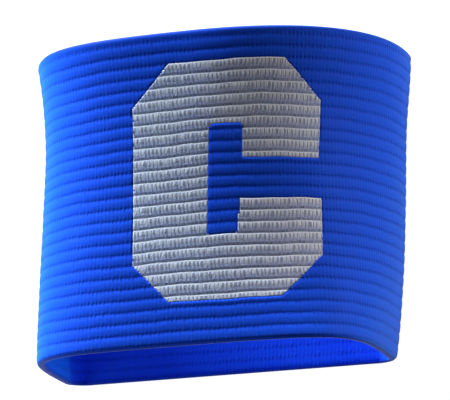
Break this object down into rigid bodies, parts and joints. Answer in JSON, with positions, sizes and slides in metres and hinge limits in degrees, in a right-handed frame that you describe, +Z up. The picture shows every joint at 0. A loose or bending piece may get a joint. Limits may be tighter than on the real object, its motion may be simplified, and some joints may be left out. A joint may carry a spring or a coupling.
{
  "type": "captain armband",
  "caption": "Ribbed elastic knit armband with a block letter C knitted into its front, lying on its side as an open loop of cloth.",
  "frame": {"origin": "centre of the bounding box, on the surface the armband lies on", "axes": "+X across the band to its right, +Y along the arm to the band's upper edge, +Z up, the way the letter faces"},
  "size_m": [0.1095, 0.09, 0.057],
  "materials": {
    "blue_knit": "matte ribbed elastic knit, royal blue",
    "grey_knit": "matte ribbed elastic knit, silver grey yarn over the blue ground"
  },
  "bodies": {
    "root": {"band": "blue_knit", "letter": "grey_knit"}
  },
  "joints": []
}
